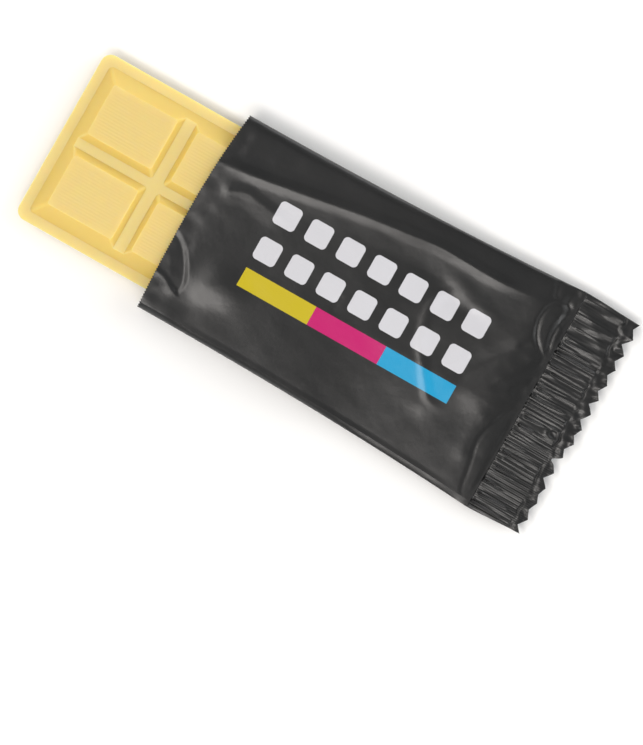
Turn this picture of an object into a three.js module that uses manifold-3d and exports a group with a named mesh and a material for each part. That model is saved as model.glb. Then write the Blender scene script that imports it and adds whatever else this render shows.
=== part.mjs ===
// A white chocolate bar of two rows of three blocks, half out of its opened flow pack.
// Millimetres, +Z up, +X from the bar's free end to the pack's end seal. The origin is the middle of
// the whole at the height of the surface that it lies on.

import * as THREE from "three";
import { mergeVertices } from "three/addons/utils/BufferGeometryUtils.js";
import Module from "manifold-3d";

// Driving sizes of the bar
const BAR_LENGTH = 60;
const BAR_WIDTH = 36;
const BAR_HEIGHT = 5;
const BAR_CORNER = 2;
const RIM_HEIGHT = 2;
const RIM_WIDTH = 2.05;
const GROOVE_HEIGHT = 3.6;
const GROOVE_FLOOR = 1.9;
const BLOCKS_LONG = 3;
const BLOCKS_WIDE = 2;
const OUTER_SLOPE = { x: 2.6, y: 2.9 };
const GROOVE_SLOPE = { x: 1.2, y: 1.4 };
const FLUTES = 17;
const FLUTE_DEPTH = 0.12;
const FLUTE_WIDTH = 0.4;
const FLUTE_MARGIN = { x: 0.75, y: 0.45 };

// Driving sizes of the pack
const WHOLE_LENGTH = 115;
const MOUTH_HALF_WIDTH = 21.2;
const SEAL_HALF_WIDTH = 23.5;
const MOUTH_X = -28.8;
const SEAL_X = 45.2;
const WALL = 0.35;
const SIDE_WALL = 0.45;
const FULL_CROWN = 7.05;
const EMPTY_CROWN = 5.3;
const LAST_CROWN = 4.9;
const SIDE_FOLD_HEIGHT = 2.6;
const SEAL_HEIGHT = 2.6;
const SEAL_THICKNESS = 0.8;
const EMPTY_LIFT = 0.4;
const LAST_LIFT = 0.6;
const GUSSET_LENGTH = 9;
const FIN_WIDTH = 9;
const FIN_THICKNESS = 0.35;
const CRIMP_HEIGHT = 0.4;
const TEETH = 14;
const TOOTH_DEPTH = 1.15;
const RIDGES_PER_TOOTH = 2;
const TIP_NARROWING = 0.02;

// Places worked out from the sizes
const BAR_CENTRE = new THREE.Vector3(
  (BAR_LENGTH - WHOLE_LENGTH) / 2,
  0.5,
  FIN_THICKNESS + WALL + 0.4,
);
const BAR_END_X = BAR_CENTRE.x + BAR_LENGTH / 2;
const BLOCK_EDGE_X = BAR_END_X - RIM_WIDTH - OUTER_SLOPE.x;
const TOOTH_TIP_X = WHOLE_LENGTH / 2;

// How finely the surfaces are divided
const CORNER_STEPS = 4;
const SECTION_STEPS = 26;
const SLEEVE_STEPS = 20;
const CRIMP_ROWS = 5;

const wasm = await Module();
wasm.setup();

// A solid from a closed geometry, without the triangles that a pole or a fold has shrunk to a line.
function solidFrom(geometry) {
  const bare = new THREE.BufferGeometry();
  bare.setAttribute("position", geometry.getAttribute("position").clone());
  bare.setIndex(geometry.getIndex());
  const merged = mergeVertices(bare, 1e-4);
  const index = merged.getIndex().array;
  const kept = [];
  for (let i = 0; i < index.length; i += 3) {
    const [a, b, c] = index.subarray(i, i + 3);
    if (a !== b && b !== c && c !== a) kept.push(a, b, c);
  }
  return new wasm.Manifold(
    new wasm.Mesh({
      numProp: 3,
      vertProperties: new Float32Array(merged.getAttribute("position").array),
      triVerts: new Uint32Array(kept),
    }),
  );
}

function meshFrom(name, solid, material) {
  const { vertProperties, triVerts } = solid.getMesh();
  const geometry = new THREE.BufferGeometry();
  geometry.setAttribute("position", new THREE.BufferAttribute(vertProperties, 3));
  geometry.setIndex(new THREE.BufferAttribute(triVerts, 1));
  geometry.computeVertexNormals();
  const mesh = new THREE.Mesh(geometry, material);
  mesh.name = name;
  return mesh;
}

// A closed surface on a grid: columns run round the piece, and rows run along it to an end that
// shrinks to a point or folds flat.
function gridSolid(columns, rows, pointAt) {
  const grid = new THREE.PlaneGeometry(1, 1, columns, rows);
  const position = grid.getAttribute("position");
  for (let row = 0; row <= rows; row++) {
    for (let column = 0; column <= columns; column++) {
      const point = pointAt(column % columns, row);
      position.setXYZ(row * (columns + 1) + column, point.x, point.y, point.z);
    }
  }
  return solidFrom(grid);
}

// The outline of a rectangle with round corners, as points that run anticlockwise.
function roundedRectangle(halfX, halfY, radius) {
  const points = [];
  const centres = [
    [halfX - radius, halfY - radius],
    [radius - halfX, halfY - radius],
    [radius - halfX, radius - halfY],
    [halfX - radius, radius - halfY],
  ];
  centres.forEach(([x, y], quarter) => {
    for (let step = 0; step <= CORNER_STEPS; step++) {
      const angle = (Math.PI / 2) * (quarter + step / CORNER_STEPS);
      points.push(new THREE.Vector2(x + radius * Math.cos(angle), y + radius * Math.sin(angle)));
    }
  });
  return points;
}

// A stack of rounded rectangles, each { halfX, halfY, radius, z }, joined by straight slopes.
function steppedBlock(levels) {
  const first = levels[0];
  const last = levels[levels.length - 1];
  const rings = levels.map(({ halfX, halfY, radius, z }) =>
    roundedRectangle(halfX, halfY, radius).map(({ x, y }) => new THREE.Vector3(x, y, z)),
  );
  const bottom = rings[0].map(() => new THREE.Vector3(0, 0, first.z));
  const top = rings[0].map(() => new THREE.Vector3(0, 0, last.z));
  const stack = [top, ...rings.reverse(), bottom];
  return gridSolid(rings[0].length, stack.length - 1, (column, row) => stack[row][column]);
}

// The base with its rim, and the raised body up to the floor of the grooves.
function barBody() {
  const halfX = BAR_LENGTH / 2;
  const halfY = BAR_WIDTH / 2;
  const share = (GROOVE_HEIGHT - RIM_HEIGHT) / (BAR_HEIGHT - RIM_HEIGHT);
  const level = (insetX, insetY, radius, z) => ({ halfX: halfX - insetX, halfY: halfY - insetY, radius, z });
  return steppedBlock([
    level(0.45, 0.45, BAR_CORNER - 0.4, 0),
    level(0.05, 0.05, BAR_CORNER, 0.4),
    level(0, 0, BAR_CORNER, 0.7),
    level(0.35, 0.35, BAR_CORNER - 0.2, RIM_HEIGHT - 0.35),
    level(0.8, 0.8, BAR_CORNER - 0.6, RIM_HEIGHT),
    level(RIM_WIDTH, RIM_WIDTH, 1, RIM_HEIGHT),
    level(RIM_WIDTH + share * OUTER_SLOPE.x, RIM_WIDTH + share * OUTER_SLOPE.y, 1, GROOVE_HEIGHT),
  ]);
}

// Where one row of blocks starts and ends on top, along x or y, in the bar's own frame.
function blockSpan(length, count, outerSlope, grooveSlope, place) {
  const edge = length / 2 - RIM_WIDTH - outerSlope;
  const gap = GROOVE_FLOOR + 2 * grooveSlope;
  const size = (2 * edge - (count - 1) * gap) / count;
  const start = -edge + place * (size + gap);
  return { start, end: start + size };
}

// One block, sloping down to the groove floor on its inner sides and along the body on its outer ones.
function block(spanX, spanY) {
  const share = (BAR_HEIGHT - GROOVE_HEIGHT) / (BAR_HEIGHT - RIM_HEIGHT);
  const root = 0.3;
  const bodyEdgeX = BAR_LENGTH / 2 - RIM_WIDTH - OUTER_SLOPE.x;
  const bodyEdgeY = BAR_WIDTH / 2 - RIM_WIDTH - OUTER_SLOPE.y;
  const spread = (end, edge, outer, inner) => (Math.abs(end) > edge - 0.01 ? share * outer : inner);
  const west = spread(spanX.start, bodyEdgeX, OUTER_SLOPE.x, GROOVE_SLOPE.x);
  const east = spread(spanX.end, bodyEdgeX, OUTER_SLOPE.x, GROOVE_SLOPE.x);
  const south = spread(spanY.start, bodyEdgeY, OUTER_SLOPE.y, GROOVE_SLOPE.y);
  const north = spread(spanY.end, bodyEdgeY, OUTER_SLOPE.y, GROOVE_SLOPE.y);
  const centre = [(spanX.start + spanX.end) / 2, (spanY.start + spanY.end) / 2];
  const halfX = (spanX.end - spanX.start) / 2;
  const halfY = (spanY.end - spanY.start) / 2;
  const ring = (grow, radius, z) =>
    roundedRectangle(halfX, halfY, 0.01).map((corner, i) => {
      const round = roundedRectangle(
        halfX + (grow * (east + west)) / 2,
        halfY + (grow * (north + south)) / 2,
        radius,
      )[i];
      const shiftX = (grow * (east - west)) / 2;
      const shiftY = (grow * (north - south)) / 2;
      return new THREE.Vector3(centre[0] + round.x + shiftX, centre[1] + round.y + shiftY, z);
    });
  const rootRing = ring(1, 1, GROOVE_HEIGHT).map(({ x, y }) => new THREE.Vector3(x, y, GROOVE_HEIGHT - root));
  const rings = [ring(0, 0.5, BAR_HEIGHT), ring(1, 1, GROOVE_HEIGHT), rootRing];
  const pole = (z) => rings[0].map(() => new THREE.Vector3(centre[0], centre[1], z));
  const stack = [pole(BAR_HEIGHT), ...rings, pole(GROOVE_HEIGHT - root)];
  return gridSolid(rings[0].length, stack.length - 1, (column, row) => stack[row][column]);
}

// The fine lengthwise flutes in the top of one block.
function flutes(spanX, spanY) {
  const length = spanX.end - spanX.start - 2 * FLUTE_MARGIN.x;
  const width = spanY.end - spanY.start - 2 * FLUTE_MARGIN.y;
  const groove = new THREE.Shape([
    new THREE.Vector2(-FLUTE_WIDTH, FLUTE_DEPTH),
    new THREE.Vector2(0, -FLUTE_DEPTH),
    new THREE.Vector2(FLUTE_WIDTH, FLUTE_DEPTH),
  ]);
  const cutters = [];
  for (let i = 0; i < FLUTES; i++) {
    const cutter = new THREE.ExtrudeGeometry(groove, { depth: length, bevelEnabled: false });
    cutter.applyMatrix4(
      new THREE.Matrix4().makeBasis(
        new THREE.Vector3(0, 1, 0),
        new THREE.Vector3(0, 0, 1),
        new THREE.Vector3(1, 0, 0),
      ),
    );
    const y = spanY.start + FLUTE_MARGIN.y + (width * (i + 0.5)) / FLUTES;
    cutter.translate(spanX.start + FLUTE_MARGIN.x, y, BAR_HEIGHT);
    cutters.push(solidFrom(withIndex(cutter)));
  }
  return cutters;
}

function withIndex(geometry) {
  if (!geometry.getIndex()) {
    const count = geometry.getAttribute("position").count;
    geometry.setIndex(Array.from({ length: count }, (_, i) => i));
  }
  return geometry;
}

function chocolateBar() {
  let bar = barBody();
  for (let i = 0; i < BLOCKS_LONG; i++) {
    for (let j = 0; j < BLOCKS_WIDE; j++) {
      const spanX = blockSpan(BAR_LENGTH, BLOCKS_LONG, OUTER_SLOPE.x, GROOVE_SLOPE.x, i);
      const spanY = blockSpan(BAR_WIDTH, BLOCKS_WIDE, OUTER_SLOPE.y, GROOVE_SLOPE.y, j);
      bar = bar.add(block(spanX, spanY));
      for (const cutter of flutes(spanX, spanY)) bar = bar.subtract(cutter);
    }
  }
  return bar;
}

// A smooth step from 0 at `from` to 1 at `to`.
const smooth = (x, from, to) => THREE.MathUtils.smoothstep(x, from, to);

// The pack's half width, widest where the film is pressed flat at the seal.
function halfWidth(x) {
  const along = THREE.MathUtils.clamp((x - MOUTH_X) / (SEAL_X - MOUTH_X), 0, 1);
  return MOUTH_HALF_WIDTH + (SEAL_HALF_WIDTH - MOUTH_HALF_WIDTH) * along ** 2.2;
}

// The outer heights of the film along the middle: over the bar, over the empty part and down to the seal.
function crown(x) {
  const behindBar = smooth(x, BLOCK_EDGE_X, BAR_END_X + 4);
  const alongEmpty = smooth(x, BAR_END_X, SEAL_X - GUSSET_LENGTH);
  const toSeal = smooth(x, SEAL_X - GUSSET_LENGTH, SEAL_X + 0.5) ** 1.3;
  const open = FULL_CROWN + (EMPTY_CROWN - FULL_CROWN) * behindBar + (LAST_CROWN - EMPTY_CROWN) * alongEmpty;
  return open + (SEAL_HEIGHT + SEAL_THICKNESS / 2 - open) * toSeal;
}

function belly(x) {
  const behindBar = smooth(x, BLOCK_EDGE_X, BAR_END_X + 4);
  const alongEmpty = smooth(x, BAR_END_X, SEAL_X - GUSSET_LENGTH);
  const toSeal = smooth(x, SEAL_X - GUSSET_LENGTH, SEAL_X + 0.5) ** 1.3;
  const open = FIN_THICKNESS + EMPTY_LIFT * behindBar + (LAST_LIFT - EMPTY_LIFT) * alongEmpty;
  return open + (SEAL_HEIGHT - SEAL_THICKNESS / 2 - open) * toSeal;
}

// How far a section has come up from its side fold at a share of the half width.
const swell = (share, power) => Math.max(0, 1 - Math.abs(share) ** power) ** (1 / power);

function filmHeight(x, share, top, thinner) {
  const rear = smooth(x, BLOCK_EDGE_X, SEAL_X);
  if (top) {
    const power = THREE.MathUtils.lerp(share > 0 ? 3.7 : 4.4, 2.6, rear);
    return SIDE_FOLD_HEIGHT + (crown(x) - thinner - SIDE_FOLD_HEIGHT) * swell(share, power);
  }
  const power = THREE.MathUtils.lerp(9, 4, rear);
  return SIDE_FOLD_HEIGHT + (belly(x) + thinner - SIDE_FOLD_HEIGHT) * swell(share, power);
}

// The cut edge of the mouth bows a little.
const mouthEdge = (share) => MOUTH_X + (share > 0 ? 1.3 : 0.5) * share ** 2;

// The sleeve of film: its outside from the seal to the mouth, then its inside back to the seal.
function sleeve() {
  const columns = 2 * SECTION_STEPS;
  const rows = 2 * SLEEVE_STEPS + 3;
  const shareAt = (column) => Math.cos((Math.PI * column) / SECTION_STEPS);
  return gridSolid(columns, rows, (column, row) => {
    const top = column <= SECTION_STEPS;
    const share = shareAt(column);
    const outside = row <= SLEEVE_STEPS + 1;
    const end = row === 0 || row === rows;
    const step = outside ? Math.max(0, row - 1) : Math.min(SLEEVE_STEPS, row - SLEEVE_STEPS - 2);
    const along = outside ? 1 - step / SLEEVE_STEPS : step / SLEEVE_STEPS;
    const from = mouthEdge(share);
    const to = outside ? SEAL_X + 0.3 : SEAL_X - 1.2;
    const x = from + (to - from) * along;
    const half = halfWidth(x) - (outside ? 0 : SIDE_WALL);
    const middle = SIDE_FOLD_HEIGHT;
    const z = end ? middle : filmHeight(x, share, top, outside ? 0 : WALL);
    return new THREE.Vector3(x, half * share, z);
  });
}

// The pressed end: a corrugated strip of two layers whose outer edge is cut to teeth, with a tooth's
// tip at each corner.
function endSeal() {
  const stepsPerTooth = 2 * RIDGES_PER_TOOTH;
  const steps = TEETH * stepsPerTooth;
  const columns = 2 * (steps + 1);
  const from = SEAL_X - 0.5;
  return gridSolid(columns, CRIMP_ROWS + 2, (column, row) => {
    const top = column <= steps;
    const place = top ? column : columns - 1 - column;
    const intoTooth = (place % stepsPerTooth) / stepsPerTooth;
    const fromTip = 2 * Math.min(intoTooth, 1 - intoTooth);
    const edgeX = TOOTH_TIP_X - TOOTH_DEPTH * fromTip;
    const level = THREE.MathUtils.clamp(row - 1, 0, CRIMP_ROWS) / CRIMP_ROWS;
    const x = edgeX + (from - edgeX) * level;
    const rise = (smooth(x, from, SEAL_X + 1.5) * (place % 2 ? 1 : -1) * CRIMP_HEIGHT) / 2;
    const end = row === 0 || row === CRIMP_ROWS + 2;
    const layer = end ? 0 : ((top ? 1 : -1) * SEAL_THICKNESS) / 2;
    const narrow = 1 - TIP_NARROWING * smooth(x, SEAL_X, TOOTH_TIP_X) - 0.006 * smooth(x, SEAL_X + 1, from);
    const y = SEAL_HALF_WIDTH * (1 - (2 * place) / steps) * narrow;
    return new THREE.Vector3(x, y, SEAL_HEIGHT + rise + layer);
  });
}

// The lengthwise seal of the film, folded flat against the underside.
function backFin() {
  const steps = 16;
  const from = mouthEdge(0) + 0.05;
  return gridSolid(4, steps + 2, (column, row) => {
    const level = THREE.MathUtils.clamp(row - 1, 0, steps) / steps;
    const end = row === 0 || row === steps + 2;
    const x = SEAL_X + (from - SEAL_X) * level;
    const y = (column === 0 || column === 3 ? 1 : -1) * (FIN_WIDTH / 2);
    const under = belly(x) - FIN_THICKNESS;
    const z = column < 2 ? belly(x) + WALL / 2 : under;
    return new THREE.Vector3(x, end ? 0 : y, end ? (belly(x) + WALL / 2 + under) / 2 : z);
  });
}

const chocolate = new THREE.MeshStandardMaterial({ color: 0xefd384, roughness: 0.5, metalness: 0 });
const film = new THREE.MeshStandardMaterial({ color: 0x3b3a3a, roughness: 0.32, metalness: 0 });

const bar = meshFrom("chocolate_bar", chocolateBar(), chocolate);
bar.position.copy(BAR_CENTRE);

const wrapper = meshFrom("wrapper", sleeve().add(endSeal()).add(backFin()), film);

const model = new THREE.Group();
model.add(bar, wrapper);

export default model;
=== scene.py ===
# A white chocolate bar, half out of its opened dark flow pack, lying on a pale floor.
# Shapes are worked out in millimetres, with +X from the bar's free end to the pack's end seal.

import math

import bmesh
import bpy
import numpy as np
from mathutils import Matrix, Vector


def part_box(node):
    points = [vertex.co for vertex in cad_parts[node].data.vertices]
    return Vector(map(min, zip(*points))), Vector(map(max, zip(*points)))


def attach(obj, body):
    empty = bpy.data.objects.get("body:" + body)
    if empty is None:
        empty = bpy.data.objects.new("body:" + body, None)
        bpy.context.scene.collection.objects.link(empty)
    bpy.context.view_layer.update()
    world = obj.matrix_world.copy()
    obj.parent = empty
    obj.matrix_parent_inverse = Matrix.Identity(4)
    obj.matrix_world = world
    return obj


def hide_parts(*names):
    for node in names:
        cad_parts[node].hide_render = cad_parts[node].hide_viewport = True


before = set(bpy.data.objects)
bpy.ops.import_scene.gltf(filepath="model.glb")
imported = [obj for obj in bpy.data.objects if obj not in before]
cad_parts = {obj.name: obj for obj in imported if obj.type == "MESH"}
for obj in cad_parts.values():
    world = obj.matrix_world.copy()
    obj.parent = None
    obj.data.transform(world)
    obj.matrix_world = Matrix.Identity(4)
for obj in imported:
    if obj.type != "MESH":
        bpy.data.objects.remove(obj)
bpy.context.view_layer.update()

MM = 0.001

# Places and outer sizes, from the frame
bar_low, bar_high = (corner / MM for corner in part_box("chocolate_bar"))
pack_low, pack_high = (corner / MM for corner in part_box("wrapper"))
BAR_LENGTH, BAR_WIDTH, BAR_HEIGHT = bar_high - bar_low
BAR_PLACE = Vector(((bar_low.x + bar_high.x) / 2, (bar_low.y + bar_high.y) / 2, bar_low.z))
MOUTH_X = pack_low.x
TOOTH_TIP_X = pack_high.x
SEAL_HALF_WIDTH = pack_high.y
FULL_CROWN = pack_high.z

# Driving sizes of the bar
BAR_CORNER = 2.0
RIM_HEIGHT = 2.0
RIM_WIDTH = 2.05
GROOVE_HEIGHT = 3.7
GROOVE_FLOOR = (2.3, 1.9)
BLOCKS = (3, 2)
OUTER_SLOPE = (2.6, 2.9)
GROOVE_SLOPE = (1.0, 1.4)
FOOT_CORNER = 0.9
BROW_CORNER = 0.5
BLOCK_CORNER = 0.5
SOFT_EDGE = 0.6
SHARP_ANGLE = math.radians(24)
LEAST_PANEL_AREA = 20.0
FLUTES = 17
FLUTE_STEPS = 4
FLUTE_DEPTH = 0.03
FLUTE_SIDE_MARGIN = 0.1
FLUTE_END_MARGIN = 0.4
FLUTE_RAMP = 0.2

# Driving sizes of the pack: its outline, its film, and its heights over the bar and behind it
MOUTH_HALF_WIDTH = 21.2
FLARE_POWER = 2.2
MOUTH_TOOTH = 0.22
FAR_MOUTH_BOW = 1.3
NEAR_MOUTH_BOW = 0.5
SEAL_X = 45.2
SLEEVE_END_X = SEAL_X + 0.3
FILM = 0.08
EMPTY_CROWN = 5.3
LAST_CROWN = 4.9
BELLY = 0.35
EMPTY_BELLY = 0.75
LAST_BELLY = 0.95
SIDE_FOLD_HEIGHT = 2.6
SEAL_HEIGHT = 2.6
GUSSET_LENGTH = 8.5

# The film's section: how square it is, and its shoulders beside the side folds
UPPER_SQUARENESS = 16.0
UNDER_SQUARENESS = 9.0
REAR_SQUARENESS = 4.0
FAR_SHOULDER = 0.925
FAR_SHOULDER_DROP = 0.12
FAR_SHOULDER_SOFTNESS = 0.03
NEAR_SHOULDER = 0.95
NEAR_SHOULDER_SLOPE = 0.48
LEAST_RISE = 0.9

# The film's broad slopes on both sides of the long crease, down its near side, and up to its near lip.
# A ramp is where along the pack its slope comes in.
FAR_LEAN = 0.1
FIELD_LEAN = 0.06
FIELD_WIDTH = 5.5
FIELD_RAMP = (4, 18)
NEAR_LEAN = 0.075
NEAR_LEAN_START = -4.0
NEAR_LEAN_RAMP = (4, 22)
NEAR_LIP_LEAN = 0.21
NEAR_LIP_WIDTH = 1.9
NEAR_LIP_RAMP = (-24, -14)

# Soft waves in the film's upper side and underside: each one's height, wavelength and random seed
UPPER_WAVES = ((0.1, 17, 4), (0.03, 6, 5))
UNDER_WAVES = ((0.05, 9, 8),)

# Sizes of the back seal, a flat fin under the pack
FIN_WIDTH = 9.0
FIN_FILM = 0.1
FIN_RIDGE_PITCH = 0.9
FIN_RIDGE_HEIGHT = 0.04

# Driving sizes of the end seal
SEAL_FILM = 0.16
SEAL_START_X = SEAL_X - 0.4
LINE_PITCH = 0.82
LINE_HEIGHT = 0.28
TEETH = 14
TOOTH_DEPTH = 1.1
CREASE_X = 54.4
TIP_NARROWING = 0.02

# The print: a block pattern of two rows, and a stripe of three colours under it
MOTIF_X = (-14.0, 32.1)
MOTIF_Y = (-2.2, 10.2)
MOTIF_COUNT = (7, 2)
MOTIF_SIZE = 4.7
MOTIF_CORNER = 0.9
STRIPE_X = (-13.75, 32.3)
STRIPE_Y = (-8.3, -4.4)


# Curves and profiles

def smooth(x, start, end):
    """A smooth step from 0 at start to 1 at end."""
    part = np.clip((x - start) / (end - start), 0, 1)
    return part * part * (3 - 2 * part)


def through(points, at):
    """The second value of a smooth line through the points, at each first value."""
    x, y = np.array(points, float).T
    slope = np.gradient(y, x)
    i = np.clip(np.searchsorted(x, at) - 1, 0, len(x) - 2)
    width = x[i + 1] - x[i]
    t = np.clip((at - x[i]) / width, 0, 1)
    start = y[i] * (1 + 2 * t) + slope[i] * width * t
    end = y[i + 1] * (3 - 2 * t) - slope[i + 1] * width * (1 - t)
    return start * (1 - t) ** 2 + end * t**2


def swell(share, power):
    """How far a section has come up from its side fold, at a share of the half width."""
    return np.maximum(0, 1 - np.abs(share) ** power) ** (1 / power)


def bell(offset, width):
    """A smooth hump: 1 where the offset is 0, and nearly gone at twice the width."""
    return np.exp(-((offset / width) ** 2))


def ripple(x, y, wavelength, seed):
    """Soft random waves of about one wavelength, between about -1 and 1."""
    rng = np.random.default_rng(seed)
    total = np.zeros_like(x)
    for heading, phase, stretch in rng.uniform((0, 0, 0.7), (math.pi, 2 * math.pi, 1.4), (7, 3)):
        across = x * math.cos(heading) + y * math.sin(heading)
        total += np.sin(2 * math.pi * across / (wavelength * stretch) + phase)
    return total / 4


# Pieces

def new_piece(name, bm, *finishes):
    """A piece from a bmesh in millimetres, with its materials."""
    bm.transform(Matrix.Scale(MM, 4))
    mesh = bpy.data.meshes.new(name)
    bm.to_mesh(mesh)
    bm.free()
    mesh.shade_smooth()
    for finish in finishes:
        mesh.materials.append(finish)
    piece = bpy.data.objects.new(name, mesh)
    bpy.context.scene.collection.objects.link(piece)
    return piece


def slab(bm, low, high, top_scale=(1, 1)):
    """A box between two corners, with its top made larger or smaller."""
    low, high = Vector(low), Vector(high)
    place = Matrix.Translation((low + high) / 2) @ Matrix.Diagonal((*(high - low), 1))
    verts = bmesh.ops.create_cube(bm, size=1, matrix=place)["verts"]
    top = [v for v in verts if v.co.z > (low.z + high.z) / 2]
    centre = Matrix.Translation(-(low + high) / 2)
    bmesh.ops.scale(bm, vec=(*top_scale, 1), space=centre, verts=top)


def blank(length, width):
    """The bar before its grooves: a slab with round corners and a rim, and a body with sloping sides."""
    bm = bmesh.new()
    slab(bm, (-length / 2, -width / 2, 0), (length / 2, width / 2, RIM_HEIGHT))
    upright = [e for e in bm.edges if abs(e.verts[0].co.z - e.verts[1].co.z) > 1]
    bmesh.ops.bevel(
        bm, geom=upright, offset=BAR_CORNER, offset_type="OFFSET", affect="EDGES",
        segments=6, profile=0.5, material=-1,
    )
    half = Vector((length / 2, width / 2))
    foot = half - Vector((RIM_WIDTH, RIM_WIDTH))
    brow = foot - Vector(OUTER_SLOPE)
    top = max(bm.faces, key=lambda f: f.calc_center_median().z)
    level = RIM_HEIGHT
    corner = BAR_CORNER
    for size, height, rounding in ((foot, RIM_HEIGHT, FOOT_CORNER), (brow, BAR_HEIGHT, BROW_CORNER)):
        top = bmesh.ops.extrude_discrete_faces(bm, faces=[top])["faces"][0]
        bmesh.ops.translate(bm, vec=(0, 0, height - level), verts=top.verts)
        for v in top.verts:
            for axis in range(2):
                inward = (half[axis] - abs(v.co[axis])) * rounding / corner
                v.co[axis] = math.copysign(size[axis] - inward, v.co[axis])
        half, level, corner = size, height, rounding
    return bm


def groove_places(axis, length):
    """The middle of each groove across one axis of the bar."""
    top = length - 2 * (RIM_WIDTH + OUTER_SLOPE[axis])
    gap = GROOVE_FLOOR[axis] + 2 * GROOVE_SLOPE[axis]
    size = (top - (BLOCKS[axis] - 1) * gap) / BLOCKS[axis]
    first = size + gap / 2 - top / 2
    return [first + i * (size + gap) for i in range(BLOCKS[axis] - 1)]


def groove_cutters(length, width):
    """One wedge-sided bar for each groove."""
    bm = bmesh.new()
    lift = 1.0
    for axis, (reach, span) in enumerate(((length, width), (width, length))):
        rise = BAR_HEIGHT - GROOVE_HEIGHT
        floor_width = GROOVE_FLOOR[axis]
        opening = floor_width + 2 * GROOVE_SLOPE[axis] * (rise + lift) / rise
        for place in groove_places(axis, reach):
            low, high = [0, 0, GROOVE_HEIGHT], [0, 0, BAR_HEIGHT + lift]
            low[axis], high[axis] = place - floor_width / 2, place + floor_width / 2
            low[1 - axis], high[1 - axis] = -span / 2, span / 2
            widen = [1, 1]
            widen[axis] = opening / floor_width
            slab(bm, low, high, widen)
    return bm


def apply_modifiers(piece):
    """Makes a piece's modifiers part of its mesh."""
    evaluated = piece.evaluated_get(bpy.context.evaluated_depsgraph_get())
    mesh = bpy.data.meshes.new_from_object(evaluated)
    piece.modifiers.clear()
    piece.data = mesh


def soften(bm):
    """Rounds the blocks' corners, and then every edge that is still sharp."""
    inside = Vector((BAR_LENGTH / 2 - RIM_WIDTH / 2, BAR_WIDTH / 2 - RIM_WIDTH / 2))

    def is_corner(edge):
        a, b = (v.co for v in edge.verts)
        upright = abs(a.z - b.z) > 1 and min(a.z, b.z) > RIM_HEIGHT
        return upright and abs(a.x) < inside.x and abs(a.y) < inside.y

    corners = [e for e in bm.edges if is_corner(e)]
    bmesh.ops.bevel(
        bm, geom=corners, offset=BLOCK_CORNER, offset_type="OFFSET", affect="EDGES",
        segments=4, profile=0.5, material=-1,
    )
    sharp = [e for e in bm.edges if e.is_manifold and e.calc_face_angle() > SHARP_ANGLE]
    bmesh.ops.bevel(
        bm, geom=sharp, offset=SOFT_EDGE, offset_type="OFFSET", affect="EDGES",
        segments=4, profile=0.5, material=-1, clamp_overlap=True,
    )


def flute(bm, panel):
    """Sinks fine lengthwise flutes into the top of one block."""
    bmesh.ops.inset_individual(bm, faces=[panel], thickness=FLUTE_SIDE_MARGIN, use_even_offset=True)
    xs = [v.co.x for v in panel.verts]
    ys = [v.co.y for v in panel.verts]
    low, high = Vector((min(xs), min(ys))), Vector((max(xs), max(ys)))
    middle = (low.x + high.x) / 2
    ends = [e for e in panel.edges if abs(e.verts[0].co.x - e.verts[1].co.x) < 0.01]
    bmesh.ops.subdivide_edges(bm, edges=ends, cuts=FLUTES * FLUTE_STEPS - 1, use_grid_fill=True)

    def is_field(face):
        centre = face.calc_center_median()
        level = abs(centre.z - BAR_HEIGHT) < 0.01
        return level and low.x < centre.x < high.x and low.y < centre.y < high.y

    start = low.x + FLUTE_END_MARGIN
    end = high.x - FLUTE_END_MARGIN
    for x in (start, start + FLUTE_RAMP, end - FLUTE_RAMP, end):
        field = [f for f in bm.faces if is_field(f)]
        geom = list(dict.fromkeys(g for f in field for g in (f, *f.edges, *f.verts)))
        bmesh.ops.bisect_plane(bm, geom=geom, dist=1e-4, plane_co=(x, 0, 0), plane_no=(1, 0, 0))
    reach = (end - start) / 2 - FLUTE_RAMP + 0.01
    for v in {v for f in bm.faces if is_field(f) for v in f.verts}:
        if abs(v.co.x - middle) < reach and low.y < v.co.y < high.y:
            turns = FLUTES * (v.co.y - low.y) / (high.y - low.y)
            v.co.z -= FLUTE_DEPTH * (1 - math.cos(2 * math.pi * turns)) / 2


def is_panel(face):
    """Whether a face is the flat top of a block."""
    return face.calc_center_median().z > BAR_HEIGHT - 0.01 and face.calc_area() > LEAST_PANEL_AREA


def chocolate_bar():
    """The moulded bar: rim, six blocks between grooves, and flutes in the top of each block."""
    bar = new_piece("white_bar", blank(BAR_LENGTH, BAR_WIDTH), white_chocolate())
    cutters = new_piece("groove_cutters", groove_cutters(BAR_LENGTH, BAR_WIDTH))
    cut = bar.modifiers.new("grooves", "BOOLEAN")
    cut.operation = "DIFFERENCE"
    cut.solver = "EXACT"
    cut.use_self = True
    cut.object = cutters
    apply_modifiers(bar)
    bpy.data.objects.remove(cutters)
    bm = bmesh.new()
    bm.from_mesh(bar.data)
    bm.transform(Matrix.Scale(1 / MM, 4))
    bmesh.ops.remove_doubles(bm, verts=bm.verts, dist=1e-3)
    soften(bm)
    for panel in [f for f in bm.faces if is_panel(f)]:
        flute(bm, panel)
    bmesh.ops.translate(bm, vec=BAR_PLACE, verts=bm.verts)
    bm.transform(Matrix.Scale(MM, 4))
    bm.to_mesh(bar.data)
    bm.free()
    bar.data.shade_smooth()
    bar.modifiers.new("even_normals", "WEIGHTED_NORMAL")
    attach(bar, "root")
    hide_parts("chocolate_bar")


# The film's main form

def half_width(x):
    """The pack's half width, widest where the film is pressed flat at the seal."""
    along = np.clip((x - MOUTH_X) / (SEAL_X - MOUTH_X), 0, 1)
    return MOUTH_HALF_WIDTH + (SEAL_HALF_WIDTH - MOUTH_HALF_WIDTH) * along**FLARE_POWER


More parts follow.
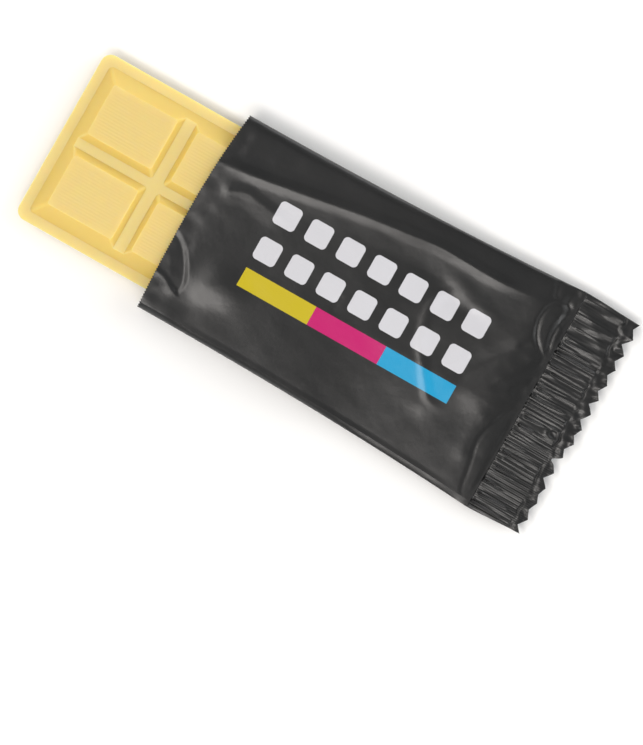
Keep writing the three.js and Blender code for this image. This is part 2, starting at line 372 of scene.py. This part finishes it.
def down_the_pack(x, full, empty, last, sealed):
    """A height along the middle: over the bar, behind it, towards the seal and in it."""
    bar_end = bar_high.x
    behind_bar = smooth(x, bar_end - 6, bar_end + 24)
    along_empty = smooth(x, bar_end, SEAL_X - GUSSET_LENGTH)
    to_seal = smooth(x, SEAL_X - GUSSET_LENGTH, SEAL_X + 0.5) ** 1.3
    height = full + (empty - full) * behind_bar + (last - empty) * along_empty
    return height + (sealed - height) * to_seal


def crown(x):
    """The height of the film's upper side along the middle."""
    return down_the_pack(x, FULL_CROWN, EMPTY_CROWN, LAST_CROWN, SEAL_HEIGHT + SEAL_FILM / 2)


def belly(x):
    """The height of the film's underside along the middle."""
    return down_the_pack(x, BELLY, EMPTY_BELLY, LAST_BELLY, SEAL_HEIGHT - SEAL_FILM / 2)


def near_lean(x):
    """The slope down the film's near side, which starts behind the mouth."""
    return NEAR_LEAN * smooth(x, *NEAR_LEAN_RAMP)


def shoulders(x, share):
    """What the upper section keeps beside its side folds: a soft far shoulder, and a crisp near one."""
    past_far = (share - FAR_SHOULDER) / (1 - FAR_SHOULDER)
    far = (np.hypot(past_far, FAR_SHOULDER_SOFTNESS / (1 - FAR_SHOULDER)) + past_far) / 2
    near = np.maximum(-share - NEAR_SHOULDER, 0)
    lowered = near_lean(x) * (NEAR_SHOULDER * half_width(x) + NEAR_LEAN_START)
    rise = np.maximum(crown(x) - SIDE_FOLD_HEIGHT - lowered, LEAST_RISE)
    # Set against the rise, the drop gives one slope where the pack is thick and where it is thin
    near_drop = NEAR_SHOULDER_SLOPE * half_width(x) / rise
    return 1 - np.where(share > 0, FAR_SHOULDER_DROP * far, near_drop * near)


def section(x, share, top):
    """The section's shape, from 0 at the side folds to 1: flat and square, rounder towards the seal."""
    rear = smooth(x, bar_high.x + 5, SEAL_X)
    front = UPPER_SQUARENESS if top else UNDER_SQUARENESS
    shape = swell(share, front + (REAR_SQUARENESS - front) * rear)
    return shape * shoulders(x, share) if top else shape


# Creases and folds of the upper film, as smooth lines through points (x, y).
# They run from the mouth towards the seal, or from +Y to -Y.
LONG_CREASE = [
    (-34.0, 9.6), (-28.0, 10.5), (-20.0, 11.6), (-10.0, 13.3), (-5.0, 14.2), (2.0, 15.4),
    (10.0, 16.4), (17.0, 17.2), (28.0, 17.1), (33.0, 17.4), (39.5, 18.2),
]
SHORT_FOLD = [(-25.5, 6.0), (-23.5, 6.9), (-20.6, 7.9), (-17.5, 7.5), (-14.0, 7.1), (-9.0, 6.6)]
POCKET_RIM = [
    (-33.0, -5.0), (-28.7, -5.7), (-26.6, -7.0), (-25.0, -8.9), (-23.8, -10.9), (-23.0, -13.2),
    (-23.2, -15.6),
]
POCKET_SILL = [(-33.0, -13.0), (-28.7, -13.3), (-26.4, -13.8), (-24.6, -14.8), (-22.4, -15.8)]
DENT = [
    (24.4, 12.6), (21.8, 9.8), (20.4, 6.5), (20.9, 2.8), (22.4, -0.9), (24.6, -4.0),
    (27.0, -7.2), (29.0, -9.3), (33.0, -10.0),
]
SHORT_PLEAT = [(4.8, 0.2), (4.6, -2.0), (4.8, -4.4)]
SIDE_PLEAT = [(40.0, 23.4), (40.2, 21.2), (40.8, 19.4)]
CORNER_PLEAT = [(45.0, 23.4), (43.4, 21.4), (43.4, 19.8), (45.0, 18.4)]
FAR_GUSSET = [
    (45.2, 19.4), (42.4, 19.4), (40.5, 17.8), (39.9, 15.2), (40.5, 12.4), (42.1, 10.1), (45.2, 7.6),
]
FAR_GUSSET_INNER = [(45.2, 18.6), (44.0, 16.8), (43.6, 14.2), (43.9, 11.6), (45.2, 8.6)]
NEAR_GUSSET = [
    (45.2, -2.0), (43.3, -4.4), (42.4, -6.6), (41.4, -9.2), (41.1, -12.2), (41.8, -15.4),
    (42.3, -18.0), (42.8, -20.8), (44.4, -23.6),
]
BEHIND_GUSSET = [(40.2, -5.0), (39.3, -8.5), (39.2, -13.0), (40.2, -17.5)]
VALLEY = [(42.0, 10.8), (39.8, 8.0), (37.4, 5.4), (34.6, 1.8), (32.4, -1.8), (30.0, -6.0)]

# Each fold's line, height, the width of its left and right flanks, and its rounding.
# The long crease is a narrow ridge on a wide one.
FOLDS = (
    (LONG_CREASE, 0.27, 1.7, 1.8, 0.15),
    (LONG_CREASE, 0.42, 3.4, 5.0, 0.15),
    (SHORT_FOLD, 0.27, 1.6, 2.9, 0.2),
    (DENT, 0.27, 1.6, 1.3, 0.2),
    (VALLEY, -0.3, 3.0, 2.6, 0.4),
    (SHORT_PLEAT, -0.1, 0.8, 0.8, 0.15),
    (SIDE_PLEAT, -0.36, 0.9, 1.3, 0.15),
    (CORNER_PLEAT, -0.38, 0.9, 1.4, 0.15),
    (FAR_GUSSET_INNER, -0.28, 0.6, 1.0, 0.15),
    (BEHIND_GUSSET, 0.12, 1.2, 2.0, 0.2),
)

# Each gusset's outline, and the depth of the ditch along it
GUSSETS = ((FAR_GUSSET, 0.25), (NEAR_GUSSET, 0.15))

# Each facet's place, the heading it leans towards in degrees, its slope, and its half sizes
FACETS = (
    ((-18.7, -13.6), 250, 0.25, (3.9, 2.7)),
    ((-14.4, -12.6), 256, 0.13, (2.8, 2.4)),
    ((-26.5, 2.0), 250, 0.09, (4.5, 2.5)),
    ((23.8, 11.0), 250, 0.25, (1.7, 2.2)),
    ((29.2, 10.0), 255, 0.18, (1.6, 2.2)),
    ((28.5, -12.0), 250, 0.10, (1.8, 1.4)),
    ((36.0, -6.0), 255, 0.08, (3.5, 2.6)),
    ((42.4, 14.6), 255, 0.12, (3.0, 1.4)),
)

# How steeply a fold's flanks hollow, and how far the gussets rise and the pocket sinks
FLANK_POWER = 1.4
GUSSET_RISE = 0.18
POCKET_DEPTH = 0.3
POCKET_SILL_HEIGHT = 0.22


def beside(line, x, y):
    """The distance from a smooth line, positive to its left, and how far along it that is, up to 1."""
    points = np.array(line)
    fine = np.linspace(0, len(line) - 1, 8 * len(line))
    track = [through(list(enumerate(points[:, axis])), fine) for axis in range(2)]
    nearest, side, share = np.full_like(x, np.inf), np.ones_like(x), np.zeros_like(x)
    for i in range(len(fine) - 1):
        from_x, from_y = x - track[0][i], y - track[1][i]
        run, climb = track[0][i + 1] - track[0][i], track[1][i + 1] - track[1][i]
        t = np.clip((from_x * run + from_y * climb) / (run**2 + climb**2), 0, 1)
        distance = np.hypot(from_x - t * run, from_y - t * climb)
        nearer = distance < nearest
        nearest = np.where(nearer, distance, nearest)
        side = np.where(nearer, np.sign(run * from_y - climb * from_x), side)
        share = np.where(nearer, (i + t) / (len(fine) - 1), share)
    return nearest * side, share


def between_ends(share):
    """1 along the middle of a line, fading to 0 at both of its ends."""
    return smooth(share, 0, 0.2) * smooth(-share, -1, -0.8)


def fold(x, y, line, height, left, right, rounding):
    """A raised fold on a line, or a sunken one where the height is negative."""
    offset, share = beside(line, x, y)
    crest = np.hypot(offset, rounding) - rounding
    flank = np.maximum(0, 1 - crest / np.where(offset > 0, left, right)) ** FLANK_POWER
    return height * flank * between_ends(share)


def facet(x, y, place, heading, slope, half_size):
    """A soft patch of film that leans down towards a heading."""
    a = math.radians(heading)
    from_x, from_y = x - place[0], y - place[1]
    down = (from_x * math.cos(a) + from_y * math.sin(a)) / half_size[0]
    over = (from_y * math.cos(a) - from_x * math.sin(a)) / half_size[1]
    return -slope * half_size[0] * down * np.exp(-(down**2 + over**2) / 2)


def pocket(x, y):
    """The sunken pocket at the mouth, under its curved rim."""
    from_rim = beside(POCKET_RIM, x, y)[0]
    from_sill = beside(POCKET_SILL, x, y)[0]
    wall = POCKET_DEPTH * np.clip(1.0 - from_rim, 0, 1.0) - 0.1 * np.clip(-from_rim, 0, 2.5)
    floor_share = smooth(from_sill, -0.1, 0.6) * smooth(-x, 21.2, 22.4)
    return fold(x, y, POCKET_SILL, POCKET_SILL_HEIGHT, 0.8, 1.6, 0.1) - wall * floor_share


def gusset(x, y, outline, depth):
    """A pinch of film before the seal: a ditch along its outline, and a raised field inside it."""
    offset, share = beside(outline, x, y)
    field = GUSSET_RISE * smooth(offset, 0, 2.4) * between_ends(share)
    return field + fold(x, y, outline, -depth, 0.6, 0.8, 0.1)


def broad_slopes(x, y):
    """The film's slopes on both sides of the long crease, down its near side and at its near lip."""
    past_crease = y - through(LONG_CREASE, x)
    far = FAR_LEAN * np.maximum(0, past_crease)
    field = FIELD_LEAN * np.clip(-past_crease, 0, FIELD_WIDTH) * smooth(x, *FIELD_RAMP)
    near = near_lean(x) * np.maximum(0, NEAR_LEAN_START - y)
    past_lip = np.maximum(0, NEAR_LIP_WIDTH - half_width(x) - y)
    lip = NEAR_LIP_LEAN * past_lip * smooth(x, *NEAR_LIP_RAMP)
    return lip - far - field - near


def crumples(x, y):
    """Small uneven waves in the film at the mouth, and between the gussets."""
    at_mouth = smooth(-x, 22.5, 26)
    between_gussets = smooth(x, 37, 39.5) * smooth(y, -3, -1) * smooth(-y, -10, -7)
    return (0.12 * between_gussets + 0.07 * at_mouth) * ripple(x, y, 3.2, 6)


def relief(x, y):
    """Slopes, creases and folds of the film's upper side, in millimetres."""
    before_seal = smooth(-x, 1.5 - SEAL_X, 8 - SEAL_X)
    rise = broad_slopes(x, y) * before_seal + pocket(x, y) + crumples(x, y)
    rise += sum(fold(x, y, *shape) for shape in FOLDS)
    rise += sum(gusset(x, y, *shape) for shape in GUSSETS)
    return rise + sum(facet(x, y, *shape) for shape in FACETS)


def soft_waves(x, y, waves):
    """The sum of random waves, each with its height, wavelength and seed."""
    return sum(height * ripple(x, y, wavelength, seed) for height, wavelength, seed in waves)


def film_height(x, share, top):
    """The height of the film's upper or under side, with its relief fading out before the seal."""
    sealed = smooth(x, SEAL_X - 1.2, SEAL_X)
    edge = crown(x) if top else belly(x)
    y = share * half_width(x)
    uneven = relief(x, y) + soft_waves(x, y, UPPER_WAVES) if top else soft_waves(x, y, UNDER_WAVES)
    rise = edge - SIDE_FOLD_HEIGHT + uneven * (1 - sealed)
    return SIDE_FOLD_HEIGHT + rise * section(x, share, top)


def even_shares(part, height, power):
    """Shares of the half width, from 1 to -1, at even steps round a section of a height and squareness.

    The share nearest to the near shoulder is moved onto it.
    """
    fine = np.cos(np.linspace(0, math.pi, 4001))
    across = MOUTH_HALF_WIDTH * fine
    up = height * swell(fine, power)
    length = np.concatenate(([0], np.cumsum(np.hypot(np.diff(across), np.diff(up)))))
    share = np.interp(part * length[-1], length, fine)
    from_shoulder = np.abs(share + NEAR_SHOULDER)
    return np.where(from_shoulder < from_shoulder.min() + 1e-6, -NEAR_SHOULDER, share)


# The sleeve's grid: most of its columns are on the upper side, and its rows are closer at both ends
SLEEVE_ROWS = 214
SLEEVE_COLUMNS = 230
TOP_COLUMNS = 184
ROW_BUNCHING = 0.55


def sleeve_places(along, around):
    """Where the points of a flat grid go on the sleeve: along to the seal, and once around it."""
    column = np.rint(around * SLEEVE_COLUMNS)
    top = column <= TOP_COLUMNS
    over = np.minimum(column / TOP_COLUMNS, 1)
    under = np.maximum((column - TOP_COLUMNS) / (SLEEVE_COLUMNS - TOP_COLUMNS), 0)
    share = np.where(
        top,
        even_shares(over, FULL_CROWN - SIDE_FOLD_HEIGHT, UPPER_SQUARENESS),
        -even_shares(under, SIDE_FOLD_HEIGHT - BELLY, UNDER_SQUARENESS),
    )
    notch = MOUTH_TOOTH * (column % 2) * (1 - smooth(along, 0, 1.5 / SLEEVE_ROWS))
    mouth = MOUTH_X + np.where(share > 0, FAR_MOUTH_BOW, NEAR_MOUTH_BOW) * share**2 + notch
    spread = along - ROW_BUNCHING * np.sin(2 * math.pi * along) / (2 * math.pi)
    x = mouth + (SLEEVE_END_X - mouth) * spread
    z = np.where(top, film_height(x, share, True), film_height(x, share, False))
    return x, half_width(x) * share, z


def on_near_shoulder(vert):
    """Whether a point of the film lies on the near shoulder, which stays a crisp edge."""
    return abs(vert.co.y + NEAR_SHOULDER * half_width(vert.co.x)) < 1e-3


def film_piece(name, rows, columns, places, wall, *finishes):
    """A sheet of film: a flat grid moved to its places, welded where it meets itself, with a wall."""
    bm = bmesh.new()
    bmesh.ops.create_grid(bm, x_segments=rows, y_segments=columns, size=0.5)
    flat = np.array([v.co for v in bm.verts]) + 0.5
    moved = np.stack(places(flat[:, 0], flat[:, 1]), axis=1)
    for vert, place in zip(bm.verts, moved):
        vert.co = place
    bmesh.ops.remove_doubles(bm, verts=bm.verts, dist=1e-4)
    bmesh.ops.recalc_face_normals(bm, faces=bm.faces)
    for edge in bm.edges:
        edge.smooth = not all(on_near_shoulder(vert) for vert in edge.verts)
    piece = new_piece(name, bm, *finishes)
    solid = piece.modifiers.new("wall", "SOLIDIFY")
    solid.thickness = wall * MM
    solid.offset = -1
    solid.material_offset = len(finishes) - 1
    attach(piece, "root")
    return piece


# The end seal's grid, and its larger marks
SEAL_ROWS = 84
SEAL_COLUMNS = TEETH * 40
SHEEN_FOLD = [(44.0, 22.6), (48.6, 19.2), (51.6, 16.6), (55.6, 11.4)]
KNOT = (53.0, -3.4)
NICK_Y = -7.6


def pressed_lines(x, y):
    """The crimp's lengthwise lines: fine and even, with stronger ones that start and stop unevenly."""
    rng = np.random.default_rng(11)
    rise = 0.02 * np.cos(2 * math.pi * y / LINE_PITCH)
    first, last = -SEAL_HALF_WIDTH + LINE_PITCH, SEAL_HALF_WIDTH - LINE_PITCH / 2
    for place in np.arange(first, last, LINE_PITCH):
        shift, bend = rng.uniform(-0.2, 0.2, 2)
        height = 0.04 + LINE_HEIGHT * rng.uniform(0, 1) ** 2
        width = rng.uniform(0.14, 0.3)
        start, length = SEAL_X + 1.6 * rng.uniform(0, 1) ** 2, rng.uniform(4, 11)
        line = bell(y - place - shift - bend * np.sin(x / 2), width)
        strength = 1 + 1.2 * np.exp(-np.maximum(0, x - start - 0.5))
        ends = smooth(x, start, start + 0.6) * smooth(-x, -start - length, -start - length + 2)
        rise += height * strength * line * ends
    return rise


def knot(x, y):
    """A small crumpled dimple with a raised ring."""
    out = np.hypot((x - KNOT[0]) / 1.3, y - KNOT[1])
    return 0.16 * bell(out - 0.95, 0.35) - 0.3 * bell(out, 0.6)


def cut_edge(y, from_tip):
    """Where the seal is cut: in teeth of uneven depth, set back on the near side and nicked there."""
    teeth = TOOTH_DEPTH * (1 + 0.3 * ripple(0 * y, y, 5, 28)) * from_tip
    return TOOTH_TIP_X - teeth - 0.6 * smooth(-y, 2, 7) - 0.9 * bell(y - NICK_Y, 0.6)


def seal_relief(x, y, crease):
    """The seal's pressed lines and waves up to its crease, its broad folds, and two grooves across it."""
    pressed = smooth(x, SEAL_X, SEAL_X + 0.4) * (1 - smooth(x, crease - 0.5, crease + 0.1))
    far = smooth(y, 11, 14)
    lines = (1 - 0.6 * far) * pressed_lines(x, y) + knot(x, y)
    waves = (0.06 + 0.1 * far) * ripple(x / 3.2, y, 2.0, 21) + 0.09 * ripple(x / 2, y, 4.5, 24)
    broad = fold(x, y, SHEEN_FOLD, 0.3, 2.4, 2.6, 0.4)
    broad += 0.12 * ripple(x, y, 14, 22) * smooth(x, SEAL_X, SEAL_X + 2)
    sleeve_groove = 0.2 * bell(x - SEAL_X - 0.15, 0.16)
    crease_groove = 0.3 * bell(x - crease, 0.2) * smooth(ripple(0 * y, y, 5, 26), -0.5, 0.4)
    return pressed * (lines + waves) + broad - sleeve_groove - crease_groove


def seal_places(along, across):
    """Where the points of a flat grid go on the end seal, up to its bent, uneven teeth."""
    y_flat = SEAL_HALF_WIDTH * (1 - 2 * across)
    tooth = across * TEETH + 0.14 * ripple(0 * y_flat, y_flat, 7, 27)
    from_tip = 2 * np.abs(tooth - np.rint(tooth))
    bends = np.random.default_rng(12).uniform(-1, 1, TEETH + 2)
    bend = bends[np.rint(tooth).astype(int)]
    x = SEAL_START_X + (cut_edge(y_flat, from_tip) - SEAL_START_X) * along
    y = y_flat * (1 - TIP_NARROWING * smooth(x, SEAL_X, TOOTH_TIP_X))
    crease = CREASE_X + 0.22 * ripple(0 * y, y, 2.6, 25)
    past = np.maximum(0, x - crease)
    curl = past * (0.2 * bend * (1 - from_tip) - 0.06)
    frill = 0.17 * ripple(x, y, 2.2, 23) * smooth(past, 0, 0.8)
    return x, y, SEAL_HEIGHT + seal_relief(x, y, crease) + curl + frill


# The back seal's grid
FIN_ROWS = 300
FIN_COLUMNS = 24


def fin_places(along, across):
    """Where the points of a flat grid go on the back seal: a flat strip with fine cross ridges."""
    start = MOUTH_X + 0.3
    x = start + (SEAL_X - start) * along
    y = FIN_WIDTH * (across - 0.5)
    ridges = FIN_RIDGE_HEIGHT * np.sin(2 * math.pi * x / FIN_RIDGE_PITCH)
    under_film = np.maximum(belly(x) - 0.2, 0.14)
    return x, y, under_film + ridges - 0.05 * smooth(across, 0.6, 1)


def wrapper():
    """The opened pack: the film sleeve, its crimped end seal and its folded back seal."""
    outside, inside = pack_film("printed_film", printed=True), pack_film("plain_film")
    sealed = pack_film("sealed_film", knurled=True)
    sleeve = film_piece(
        "film_sleeve", SLEEVE_ROWS, SLEEVE_COLUMNS, sleeve_places, FILM, outside, inside,
    )
    film_piece("end_seal", SEAL_ROWS, SEAL_COLUMNS, seal_places, SEAL_FILM, sealed)
    film_piece("back_seal", FIN_ROWS, FIN_COLUMNS, fin_places, FIN_FILM, inside)
    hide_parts("wrapper")


# Materials

class Wire:
    """A socket of a node tree. Arithmetic on wires adds Math nodes."""

    def __init__(self, tree, socket=None):
        self.tree = tree
        self.socket = socket

    def node(self, kind, settings=None, inputs=None, output=0):
        """Adds a node, sets it up, fills or links its inputs, and gives one of its outputs."""
        node = self.tree.nodes.new(kind)
        for name, value in (settings or {}).items():
            setattr(node, name, value)
        for key, value in (inputs or {}).items():
            if isinstance(value, Wire):
                self.tree.links.new(value.socket, node.inputs[key])
            else:
                node.inputs[key].default_value = value
        return Wire(self.tree, node.outputs[output])

    def math(self, operation, *values):
        """The result of a Math node."""
        return self.node("ShaderNodeMath", {"operation": operation}, dict(enumerate(values)))

    def __add__(self, other):
        return self.math("ADD", self, other)

    def __sub__(self, other):
        return self.math("SUBTRACT", self, other)

    def __rsub__(self, other):
        return self.math("SUBTRACT", other, self)

    def __mul__(self, other):
        return self.math("MULTIPLY", self, other)

    def __truediv__(self, other):
        return self.math("DIVIDE", self, other)

    __radd__ = __add__
    __rmul__ = __mul__

    def __abs__(self):
        return self.math("ABSOLUTE", self)

    def least(self, other):
        """The smaller of this and another value."""
        return self.math("MINIMUM", self, other)

    def most(self, other):
        """The larger of this and another value."""
        return self.math("MAXIMUM", self, other)

    def rounded(self):
        """The nearest whole number."""
        return self.math("ROUND", self)

    def sine(self):
        """The sine of this value, in radians."""
        return self.math("SINE", self)

    def root(self):
        """The square root."""
        return self.math("SQRT", self)

    def step(self, start, end):
        """A smooth step from 0 at start to 1 at end."""
        return self.node(
            "ShaderNodeMapRange",
            {"interpolation_type": "SMOOTHSTEP"},
            {"Value": self, "From Min": start, "From Max": end},
        )


def mix_colour(factor, first, second):
    """The first colour where the factor is 0, and the second where it is 1."""
    # The colour sockets of a Mix node are its inputs 6 and 7 and its output 2
    return factor.node("ShaderNodeMix", {"data_type": "RGBA"}, {0: factor, 6: first, 7: second}, 2)


class Finish:
    """A material of one Principled shader, with the object's own coordinates in millimetres."""

    def __init__(self, name, **constants):
        self.material = bpy.data.materials.new(name)
        self.material.use_nodes = True
        self.tree = self.material.node_tree
        self.add = Wire(self.tree).node
        self.shader = self.tree.nodes["Principled BSDF"]
        for socket, value in constants.items():
            self.shader.inputs[socket.replace("_", " ")].default_value = value
        place = self.add("ShaderNodeTexCoord", output="Object")
        self.place = self.add(
            "ShaderNodeVectorMath", {"operation": "SCALE"}, {"Vector": place, "Scale": 1 / MM}
        )
        self.x, self.y, self.z = (
            self.add("ShaderNodeSeparateXYZ", inputs={"Vector": self.place}, output=axis)
            for axis in "XYZ"
        )

    def noise(self, scale, detail=2):
        """Noise between about 0 and 1, with scale in features per millimetre."""
        inputs = {"Vector": self.place, "Scale": scale, "Detail": detail}
        return self.add("ShaderNodeTexNoise", inputs=inputs)

    def facing_up(self):
        """The upward part of the surface's direction: 1 on a level top and 0 on a wall."""
        normal = self.add("ShaderNodeNewGeometry", output="Normal")
        return self.add("ShaderNodeSeparateXYZ", inputs={"Vector": normal}, output="Z")

    def feed(self, socket, wire):
        """Links a wire to one of the shader's sockets."""
        self.tree.links.new(wire.socket, self.shader.inputs[socket])

    def bump(self, height, distance):
        """Feeds the normal from a height wire, with the distance in millimetres."""
        inputs = {"Height": height, "Distance": distance * MM, "Strength": 1.0}
        self.feed("Normal", self.add("ShaderNodeBump", inputs=inputs))


# Colours of the chocolate, the film and the print
CHOCOLATE_FLAT = (0.74, 0.582, 0.225, 1)
# Painted light: a paler colour below the block tops, in the grooves and on the rim, against the shade
# that falls in the grooves
CHOCOLATE_LOW_PAINTED_LIGHT = (0.765, 0.635, 0.27, 1)
# Painted shade: a darker, deeper colour for the slopes, where shade falls on them
CHOCOLATE_SLOPE_PAINTED_SHADE = (0.725, 0.535, 0.14, 1)
FILM_BLACK = (0.006, 0.006, 0.006, 1)
FILM_WORN = (0.009, 0.0086, 0.0083, 1)
PRINT_WHITE = (0.57, 0.568, 0.597, 1)
STRIPE_COLOURS = ((0.51, 0.4, 0.002, 1), (0.49, 0.001, 0.127, 1), (0.0, 0.297, 0.545, 1))

# The seal's knurl, along and across, and how softly and how far down the sides the print ends
KNURL_PITCH = (0.7, 0.4)
PRINT_EDGE = 0.06
PRINT_LEAST_Z = 3.4


def white_chocolate():
    """Creamy white chocolate: satin and a little translucent, with painted shade deepening its slopes and
    painted light paling it below the block tops.
    """
    finish = Finish(
        "white_chocolate", Subsurface_Weight=1.0, Subsurface_Radius=(1.0, 0.8, 0.4),
        Subsurface_Scale=2.2 * MM, Specular_IOR_Level=0.42,
    )
    level = finish.facing_up().step(0.7, 0.99)
    cloud = finish.noise(0.12, 3)
    grain = finish.noise(2.2, 3)
    # Below the block tops the colour is painted light, paler against the grooves' shade
    height = finish.z - BAR_PLACE.z
    high_up = height.step(GROOVE_HEIGHT + 0.2, BAR_HEIGHT - 0.2)
    flat = mix_colour(high_up, CHOCOLATE_LOW_PAINTED_LIGHT, CHOCOLATE_FLAT)
    # Painted shade: the slope colour wherever the surface tilts away from level
    finish.feed("Base Color", mix_colour(level * (0.85 + 0.15 * cloud), CHOCOLATE_SLOPE_PAINTED_SHADE, flat))
    finish.feed("Roughness", 0.42 + 0.12 * cloud + 0.05 * grain)
    finish.bump(finish.noise(0.35, 2) + 0.12 * grain, 0.06)
    return finish.material


def field_between(wire, start, end):
    """1 between two places along one axis, with a printed field's fine soft edges, and 0 outside."""
    past_start = wire.step(start - PRINT_EDGE, start + PRINT_EDGE)
    before_end = wire.step(end + PRINT_EDGE, end - PRINT_EDGE)
    return past_start * before_end


def past_motif(wire, ends, count):
    """How far a place is past the straight part of the nearest motif's side, along one axis."""
    pitch = (ends[1] - ends[0] - MOTIF_SIZE) / (count - 1)
    turn = (wire - (ends[0] + MOTIF_SIZE / 2)) / pitch
    nearest = turn.rounded().most(0).least(count - 1)
    return (abs(turn - nearest) * pitch - (MOTIF_SIZE / 2 - MOTIF_CORNER)).most(0)


def printed_on(finish, plain):
    """The film's colour with the block pattern and the three-colour stripe on its upper side."""
    upper = finish.z.step(PRINT_LEAST_Z, PRINT_LEAST_Z + 0.2)
    out_x = past_motif(finish.x, MOTIF_X, MOTIF_COUNT[0])
    out_y = past_motif(finish.y, MOTIF_Y, MOTIF_COUNT[1])
    radius = (out_x * out_x + out_y * out_y).root()
    motif = radius.step(MOTIF_CORNER + 0.05, MOTIF_CORNER - 0.05) * upper
    colour = mix_colour(motif, plain, PRINT_WHITE)
    stripe = field_between(finish.y, *STRIPE_Y)
    width = (STRIPE_X[1] - STRIPE_X[0]) / len(STRIPE_COLOURS)
    for i, ink in enumerate(STRIPE_COLOURS):
        start = STRIPE_X[0] + i * width
        field = field_between(finish.x, start, start + width)
        colour = mix_colour(field * stripe * upper, colour, ink)
    return colour


def pack_film(name, printed=False, knurled=False):
    """Dark satin film, with faint clouding, and the print or the seal's knurl where it has them."""
    finish = Finish(name, Specular_IOR_Level=0.65)
    cloud = finish.noise(0.09, 3)
    haze = finish.noise(0.8, 4)
    plain = mix_colour(cloud.step(0.35, 0.75), FILM_BLACK, FILM_WORN)
    finish.feed("Base Color", printed_on(finish, plain) if printed else plain)
    finish.feed("Roughness", 0.28 + 0.08 * cloud + 0.05 * haze)
    height = finish.noise(0.5, 2) + 0.15 * finish.noise(5, 2)
    if knurled:
        across = finish.y * (2 * math.pi / KNURL_PITCH[1])
        along = finish.x * (2 * math.pi / KNURL_PITCH[0])
        near = finish.y.step(-3.5, -5.5)
        height = height + near * (0.2 + 0.08 * along.sine()) * across.sine()
    finish.bump(height, 0.05)
    return finish.material


# Stage: the colours of the room and the floor
NEAR_OVERHEAD = (0.35, 0.354, 0.358, 1)
FAR_OVERHEAD = (0.46, 0.465, 0.47, 1)
UPPER_WALL = (0.14, 0.142, 0.143, 1)
NEAR_HORIZON = (1.0, 1.015, 1.02, 1)
FAR_HORIZON = (2.7, 2.74, 2.76, 1)
FAR_SIDE = (0.75, 0.66)
FLOOR_COLOUR = (0.95, 0.95, 0.945, 1)
FLOOR_PALE = (0.96, 0.96, 0.955, 1)
FLOOR_REACH = 2500
FLOOR_DROP = 0.02

# Soft lamps in a half ring on the near side: each one's azimuth in degrees and its power in watts
RING_LAMPS = ((308, 0.9), (272, 2.1), (236, 1.9), (200, 1.5), (164, 1.0))
RING_TILT = 31
RING_LAMP_SIZE = 0.3
RING_LAMP_COLOUR = (1.0, 0.96, 0.925)

# The photograph's frame: millimetres a pixel, its size, where the part's origin is in it, and its roll
PIXEL = 0.192
PHOTO_SIZE = (643, 745)
ORIGIN_PIXEL = (320.6, 283.2)
ROLL = math.radians(-29.5)
CAMERA_HEIGHT = 1000.0
LONG_SIDE_SENSOR = 36.0


def floor():
    """A wide pale floor, a hair below the part."""
    finish = Finish("pale_floor", Roughness=0.8, Specular_IOR_Level=0.2)
    tone = finish.noise(0.02, 2)
    finish.feed("Base Color", mix_colour(tone, FLOOR_COLOUR, FLOOR_PALE))
    bm = bmesh.new()
    bmesh.ops.create_grid(bm, x_segments=1, y_segments=1, size=FLOOR_REACH)
    bmesh.ops.translate(bm, vec=(0, 0, -FLOOR_DROP), verts=bm.verts)
    new_piece("floor", bm, finish.material)


def surroundings():
    """A soft white room: dim overhead, dark on its upper walls, and brightest low on the far side."""
    world = bpy.data.worlds.new("soft_room")
    world.use_nodes = True
    background = world.node_tree.nodes["Background"]
    add = Wire(world.node_tree).node
    direction = add("ShaderNodeTexCoord", output="Generated")
    x, y, up = (
        add("ShaderNodeSeparateXYZ", inputs={"Vector": direction}, output=axis) for axis in "XYZ"
    )
    far = FAR_SIDE[0] * x + FAR_SIDE[1] * y
    horizon = mix_colour(far.step(-0.9, 0.9), NEAR_HORIZON, FAR_HORIZON)
    overhead = mix_colour(y.step(0.05, 0.3), NEAR_OVERHEAD, FAR_OVERHEAD)
    above = mix_colour(up.step(0.82, 0.7), overhead, UPPER_WALL)
    colour = mix_colour(up.step(0.52, 0.15), above, horizon)
    world.node_tree.links.new(colour.socket, background.inputs["Color"])
    bpy.context.scene.world = world


def softbox(name, azimuth, tilt, size, power, colour=(1, 1, 1), reflected=True):
    """A square soft light a metre away, at an azimuth from +X and a tilt from overhead, in degrees."""
    light = bpy.data.lights.new(name, "AREA")
    light.shape = "SQUARE"
    light.size = size
    light.energy = power
    light.color = colour
    lamp = bpy.data.objects.new(name, light)
    a, t = math.radians(azimuth), math.radians(tilt)
    direction = Vector((math.cos(a) * math.sin(t), math.sin(a) * math.sin(t), math.cos(t)))
    lamp.location = direction
    lamp.rotation_euler = direction.to_track_quat("Z", "Y").to_euler()
    lamp.visible_camera = False
    lamp.visible_glossy = reflected
    bpy.context.scene.collection.objects.link(lamp)


def camera():
    """A long lens straight above, rolled as in the photograph."""
    data = bpy.data.cameras.new("camera")
    data.sensor_width = LONG_SIDE_SENSOR
    data.lens = LONG_SIDE_SENSOR * CAMERA_HEIGHT / (PHOTO_SIZE[1] * PIXEL)
    right = (PHOTO_SIZE[0] / 2 - ORIGIN_PIXEL[0]) * PIXEL
    up = (ORIGIN_PIXEL[1] - PHOTO_SIZE[1] / 2) * PIXEL
    turned = Matrix.Rotation(-ROLL, 3, "Z")
    lens = bpy.data.objects.new("camera", data)
    lens.location = (turned @ Vector((right, up, CAMERA_HEIGHT))) * MM
    lens.rotation_euler = turned.to_euler()
    bpy.context.scene.collection.objects.link(lens)
    bpy.context.scene.camera = lens


camera()
surroundings()
for azimuth, power in RING_LAMPS:
    softbox("soft_light", azimuth, RING_TILT, RING_LAMP_SIZE, power, RING_LAMP_COLOUR)
softbox("fill_light", azimuth=40, tilt=55, size=0.7, power=2.9, reflected=False)
floor()
bpy.context.scene.view_settings.view_transform = "Standard"

chocolate_bar()
wrapper()
